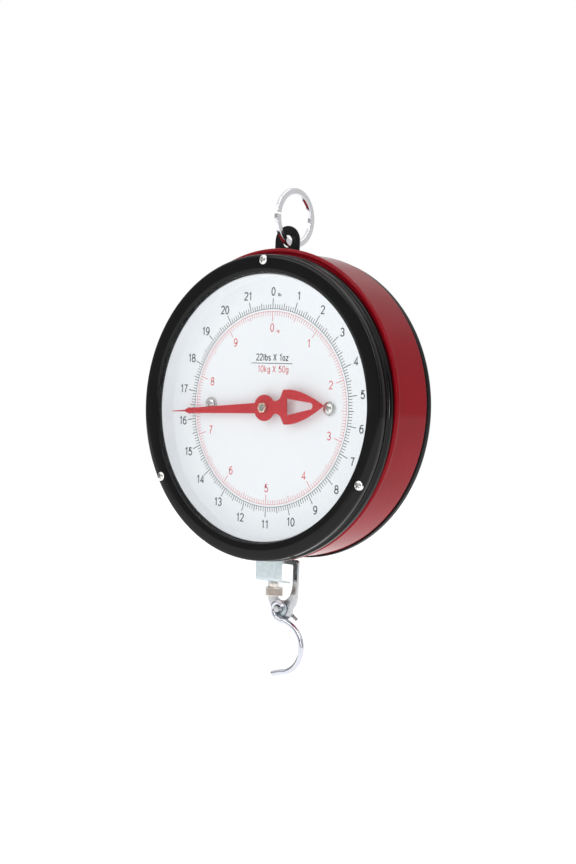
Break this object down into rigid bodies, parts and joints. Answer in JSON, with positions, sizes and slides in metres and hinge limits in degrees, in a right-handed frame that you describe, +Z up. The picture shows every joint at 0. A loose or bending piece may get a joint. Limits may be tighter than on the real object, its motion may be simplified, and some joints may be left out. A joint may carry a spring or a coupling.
{
  "type": "hanging spring scale",
  "caption": "Round-dial hanging spring scale: a red drum case with a rack and pinion movement, a key-ring hanger on top and an open hook below.",
  "frame": {"origin": "the inner top of the hanging ring, where it rests on its peg or hook", "axes": "+Z up, the dial faces -Y, +X to the right of a reader who faces the dial"},
  "size_m": [0.206, 0.0664, 0.3266],
  "materials": {
    "chrome": "bright chrome plate",
    "red_enamel": "semi-gloss baked enamel",
    "black_plastic": "satin moulded plastic",
    "black_enamel": "satin black enamel",
    "clear_plastic": "clear polished acrylic",
    "white_enamel": "printed white enamel",
    "pointer_red": "satin red enamel",
    "zinc_plate": "blue-white zinc plate",
    "polished_steel": "stamped and polished steel",
    "plated_steel": "bright nickel plate",
    "spring_steel": "drawn spring wire",
    "nickelled_brass": "knurled, nickel plated",
    "brass": "turned brass",
    "nylon": "moulded nylon"
  },
  "bodies": {
    "ring": {"hanging_ring": "chrome"},
    "case": {"case_drum": "red_enamel", "bezel": "black_plastic", "rear_cover": "black_plastic", "lens_gasket": "black_plastic", "hanger_plate": "black_enamel", "lens": "clear_plastic", "dial_plate": "white_enamel", "movement_bridge": "zinc_plate", "bezel_clip_1": "zinc_plate", "bezel_clip_2": "zinc_plate", "bezel_clip_3": "zinc_plate", "rack_guide": "nylon", "front_bush": "brass", "rear_bush": "brass", "bezel_screw_1": "plated_steel", "bezel_screw_2": "plated_steel", "bezel_screw_3": "plated_steel", "rear_screw_1": "plated_steel", "rear_screw_2": "plated_steel", "rear_screw_3": "plated_steel", "dial_screw_left": "plated_steel", "dial_screw_right": "plated_steel", "dial_washer_left": "plated_steel", "dial_washer_right": "plated_steel", "movement_pillar_1": "plated_steel", "movement_pillar_2": "plated_steel", "movement_pillar_3": "plated_steel", "movement_pillar_4": "plated_steel", "movement_screw_1": "plated_steel", "movement_screw_2": "plated_steel", "movement_screw_3": "plated_steel", "movement_screw_4": "plated_steel", "case_post_top": "plated_steel", "case_post_bottom": "plated_steel", "case_post_screw_top": "plated_steel", "case_post_screw_bottom": "plated_steel", "spring_left": "spring_steel", "spring_right": "spring_steel"},
    "pointer": {"pointer": "pointer_red", "pointer_collar": "brass", "pointer_nut": "brass", "spindle": "plated_steel", "pinion": "brass"},
    "load": {"load_beam": "zinc_plate", "load_bracket": "zinc_plate", "load_rivet_left": "plated_steel", "load_rivet_right": "plated_steel", "rack": "brass", "yoke": "polished_steel", "hook_pin": "polished_steel", "pin_washer": "zinc_plate", "cotter_pin": "polished_steel", "zero_spring": "spring_steel"},
    "zero_screw": {"zero_screw": "nickelled_brass", "zero_screw_clip": "plated_steel"},
    "hook": {"hook": "chrome"}
  },
  "joints": [
    {"name": "case_swing", "type": "hinge", "parent": "ring", "child": "case", "pos_m": [0, -0.0067, -0.0319], "axis": [1, 0, 0], "range_deg": [-45, 19]},
    {"name": "load_slide", "type": "slide", "parent": "case", "child": "load", "axis": [0, 0, -1], "range_m": [0, 0.0316], "stiffness_N_per_m": 3902, "springref_m": -0.001, "deforming": ["spring_left", "spring_right"]},
    {"name": "pointer_turn", "type": "hinge", "parent": "case", "child": "pointer", "pos_m": [0, -0.0195, -0.1423], "axis": [0, 1, 0], "range_deg": [0, 455]},
    {"name": "zero_screw_turn", "type": "hinge", "parent": "load", "child": "zero_screw", "pos_m": [0, -0.0071, -0.2623], "axis": [0, 0, 1], "range_deg": [-540, 540]},
    {"name": "hook_swing", "type": "hinge", "parent": "load", "child": "hook", "pos_m": [0, -0.0019, -0.2761], "axis": [0, 1, 0], "range_deg": [-75, 75]}
  ],
  "couplings": [
    {"joint": "pointer_turn", "follows": "load_slide", "rad_per_m": 250}
  ]
}
